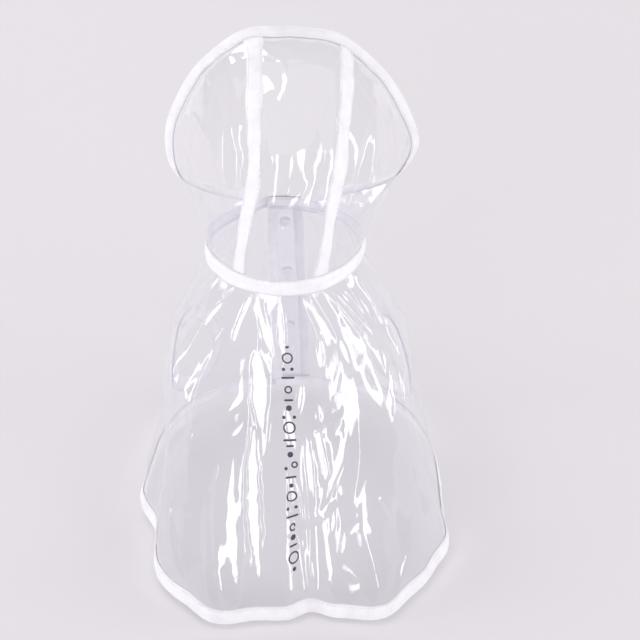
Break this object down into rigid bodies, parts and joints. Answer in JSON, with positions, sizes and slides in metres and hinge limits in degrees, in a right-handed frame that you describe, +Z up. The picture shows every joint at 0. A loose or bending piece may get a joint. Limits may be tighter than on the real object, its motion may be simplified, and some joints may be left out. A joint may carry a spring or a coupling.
{
  "type": "dog raincoat",
  "caption": "Clear film hooded rain cape for a small dog, with white bound edges, leg holes and a snap front, held open in its worn form.",
  "frame": {"origin": "middle of the neck seam ring, where the wearer's neck holds the cape", "axes": "+Z up, the face opening looks along -Y, the back of the cape is towards +Y, the wearer's left side is +X"},
  "size_m": [0.2554, 0.2823, 0.3707],
  "materials": {
    "clear_film": "clear glossy film",
    "white_tape": "white woven binding tape",
    "snap_plastic": "white moulded plastic"
  },
  "bodies": {
    "root": {"body_panel": "clear_film", "hood_centre_panel": "clear_film", "hood_side_left": "clear_film", "hood_side_right": "clear_film", "hood_seam_tape_left": "white_tape", "hood_seam_tape_right": "white_tape", "hood_edge_binding": "white_tape", "neck_binding": "white_tape", "hem_binding": "white_tape", "leg_binding_left": "white_tape", "leg_binding_right": "white_tape", "front_binding_left": "white_tape", "front_binding_right": "white_tape", "snap_cap_1": "snap_plastic", "snap_cap_2": "snap_plastic", "snap_cap_3": "snap_plastic", "snap_stud_1": "snap_plastic", "snap_stud_2": "snap_plastic", "snap_stud_3": "snap_plastic"}
  },
  "joints": []
}
